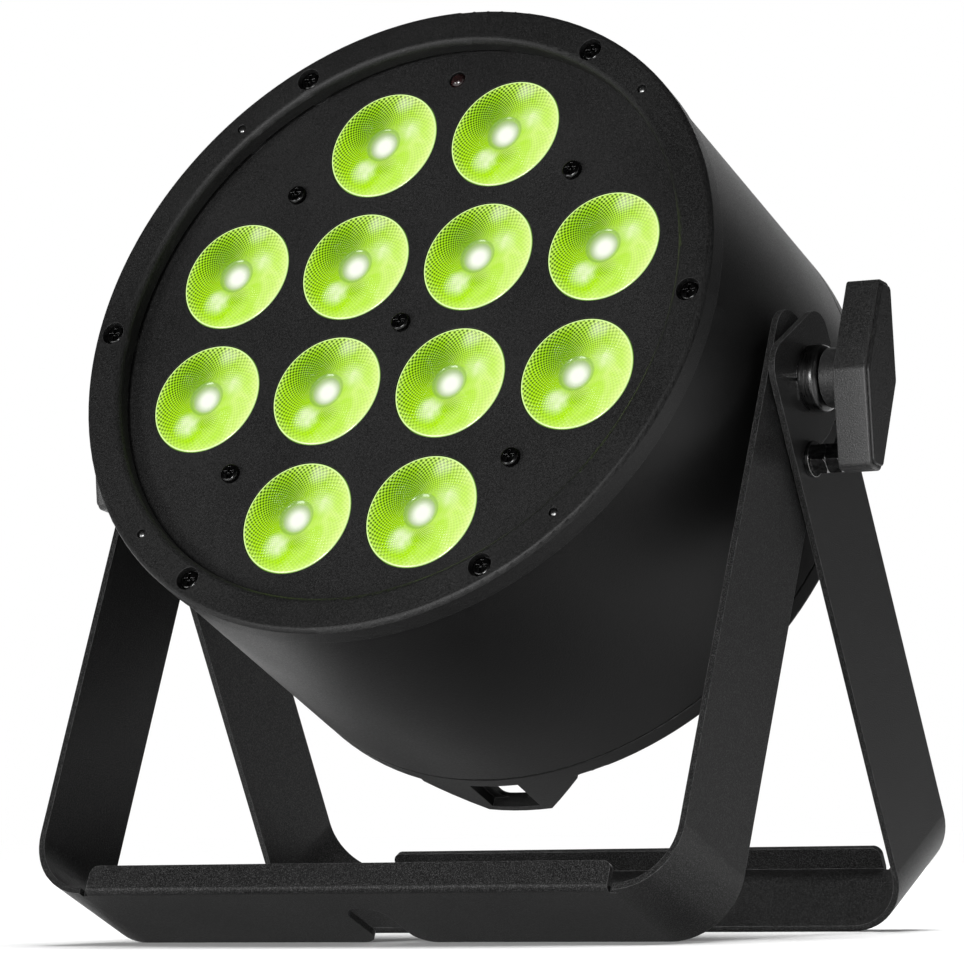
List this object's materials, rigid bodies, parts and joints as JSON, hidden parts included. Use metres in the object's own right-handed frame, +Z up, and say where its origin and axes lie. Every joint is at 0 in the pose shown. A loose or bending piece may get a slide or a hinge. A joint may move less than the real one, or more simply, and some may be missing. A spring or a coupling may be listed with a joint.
{
  "type": "par can light",
  "caption": "Compact LED par light: short matt black drum with round glowing lenses in a recessed plate, folding double bracket, clamp knobs and a rear panel with sockets and buttons",
  "frame": {"origin": "on the floor, under the middle of the whole object at rest", "axes": "+Z up, the lenses face -Y and look up by 24.2 degrees, +X is the pivot axis"},
  "size_m": [0.256, 0.1799, 0.2646],
  "materials": {
    "black_casting": "die-cast aluminium, fine-textured matt black powder coat",
    "plate_black": "black powder-coated aluminium sheet",
    "bracket_black": "bent steel strip, smooth satin black powder coat",
    "black_steel": "black-oxide steel fastener",
    "dark_steel": "dark turned steel",
    "bright_steel": "zinc-plated steel",
    "brass": "plain turned brass",
    "knob_plastic": "fine-textured moulded black plastic",
    "black_plastic": "moulded black plastic",
    "gloss_black": "glossy smoked plastic window",
    "rubber": "black rubber",
    "lens": "clear moulded lens with a faceted face, lit yellow-green",
    "emitter": "LED package with a clear dome",
    "bare_aluminium": "bare extruded aluminium",
    "circuit_green": "printed circuit board",
    "component": "encased electronic parts"
  },
  "bodies": {
    "rear_yoke": {"rear_bracket": "bracket_black", "lock_washers": "dark_steel", "pivot_collars": "dark_steel"},
    "front_yoke": {"front_bracket": "bracket_black", "guide_bolts": "black_steel", "guide_washers": "black_steel", "guide_nuts": "black_steel"},
    "knob_right": {"knob_right": "knob_plastic", "knob_right_cap": "knob_plastic", "knob_right_stud": "bright_steel"},
    "knob_left": {"knob_left": "knob_plastic", "knob_left_cap": "knob_plastic", "knob_left_stud": "bright_steel"},
    "button_menu": {"button_menu": "black_plastic"},
    "button_down": {"button_down": "black_plastic"},
    "button_up": {"button_up": "black_plastic"},
    "button_enter": {"button_enter": "black_plastic"},
    "data_latch": {"data_out_latch": "black_plastic"},
    "fuse_cap": {"fuse_cap": "black_plastic", "fuse": "component"},
    "head": {"bezel_gasket": "rubber", "bezel_screws": "black_steel", "board_screws": "bright_steel", "board_spacers": "brass", "button_switches": "component", "chassis_plate": "bare_aluminium", "chassis_screws": "bright_steel", "control_board": "circuit_green", "control_panel": "plate_black", "data_in_pins": "brass", "data_in_socket": "black_plastic", "data_out_socket": "black_plastic", "display_module": "component", "display_window": "gloss_black", "drum_housing": "black_casting", "friction_washers": "rubber", "front_bezel": "black_casting", "fuse_holder": "black_plastic", "heat_sink": "bare_aluminium", "inlet_pins": "bright_steel", "led_board": "circuit_green", "led_emitters": "emitter", "lens_holders": "black_plastic", "lens_plate": "plate_black", "lens_plate_screws": "black_steel", "lenses": "lens", "pivot_inserts": "brass", "plate_standoffs": "brass", "power_board": "circuit_green", "power_components": "component", "power_inlet": "black_plastic", "power_outlet": "black_plastic", "rear_cover": "black_casting", "rear_cover_screws": "black_steel", "remote_sensor": "gloss_black", "socket_screws": "black_steel"}
  },
  "joints": [
    {"name": "bracket_spread", "type": "hinge", "parent": "rear_yoke", "child": "front_yoke", "pos_m": [0, -0.0018, 0.15316], "axis": [1, 0, 0], "range_deg": [-3, 50]},
    {"name": "head_tilt", "type": "hinge", "parent": "rear_yoke", "child": "head", "pos_m": [0, -0.0018, 0.15316], "axis": [1, 0, 0], "range_deg": [-66, 114]},
    {"name": "knob_right_turn", "type": "hinge", "parent": "rear_yoke", "child": "knob_right", "pos_m": [0, -0.0018, 0.15316], "axis": [1, 0, 0], "range_deg": [0, 360]},
    {"name": "knob_left_turn", "type": "hinge", "parent": "rear_yoke", "child": "knob_left", "pos_m": [0, -0.0018, 0.15316], "axis": [-1, 0, 0], "range_deg": [0, 360]},
    {"name": "button_menu_press", "type": "slide", "parent": "head", "child": "button_menu", "axis": [0, -0.9121, 0.4099], "range_m": [0, 0.0012], "stiffness_N_per_m": 500, "springref_m": -0.0006},
    {"name": "button_down_press", "type": "slide", "parent": "head", "child": "button_down", "axis": [0, -0.9121, 0.4099], "range_m": [0, 0.0012], "stiffness_N_per_m": 500, "springref_m": -0.0006},
    {"name": "button_up_press", "type": "slide", "parent": "head", "child": "button_up", "axis": [0, -0.9121, 0.4099], "range_m": [0, 0.0012], "stiffness_N_per_m": 500, "springref_m": -0.0006},
    {"name": "button_enter_press", "type": "slide", "parent": "head", "child": "button_enter", "axis": [0, -0.9121, 0.4099], "range_m": [0, 0.0012], "stiffness_N_per_m": 500, "springref_m": -0.0006},
    {"name": "latch_press", "type": "slide", "parent": "head", "child": "data_latch", "axis": [0, -0.9121, 0.4099], "range_m": [0, 0.002], "stiffness_N_per_m": 500, "springref_m": -0.0006},
    {"name": "fuse_cap_turn", "type": "hinge", "parent": "head", "child": "fuse_cap", "pos_m": [0.031, 0.02427, 0.07895], "axis": [0, 0.9121, -0.4099], "range_deg": [0, 45]}
  ]
}
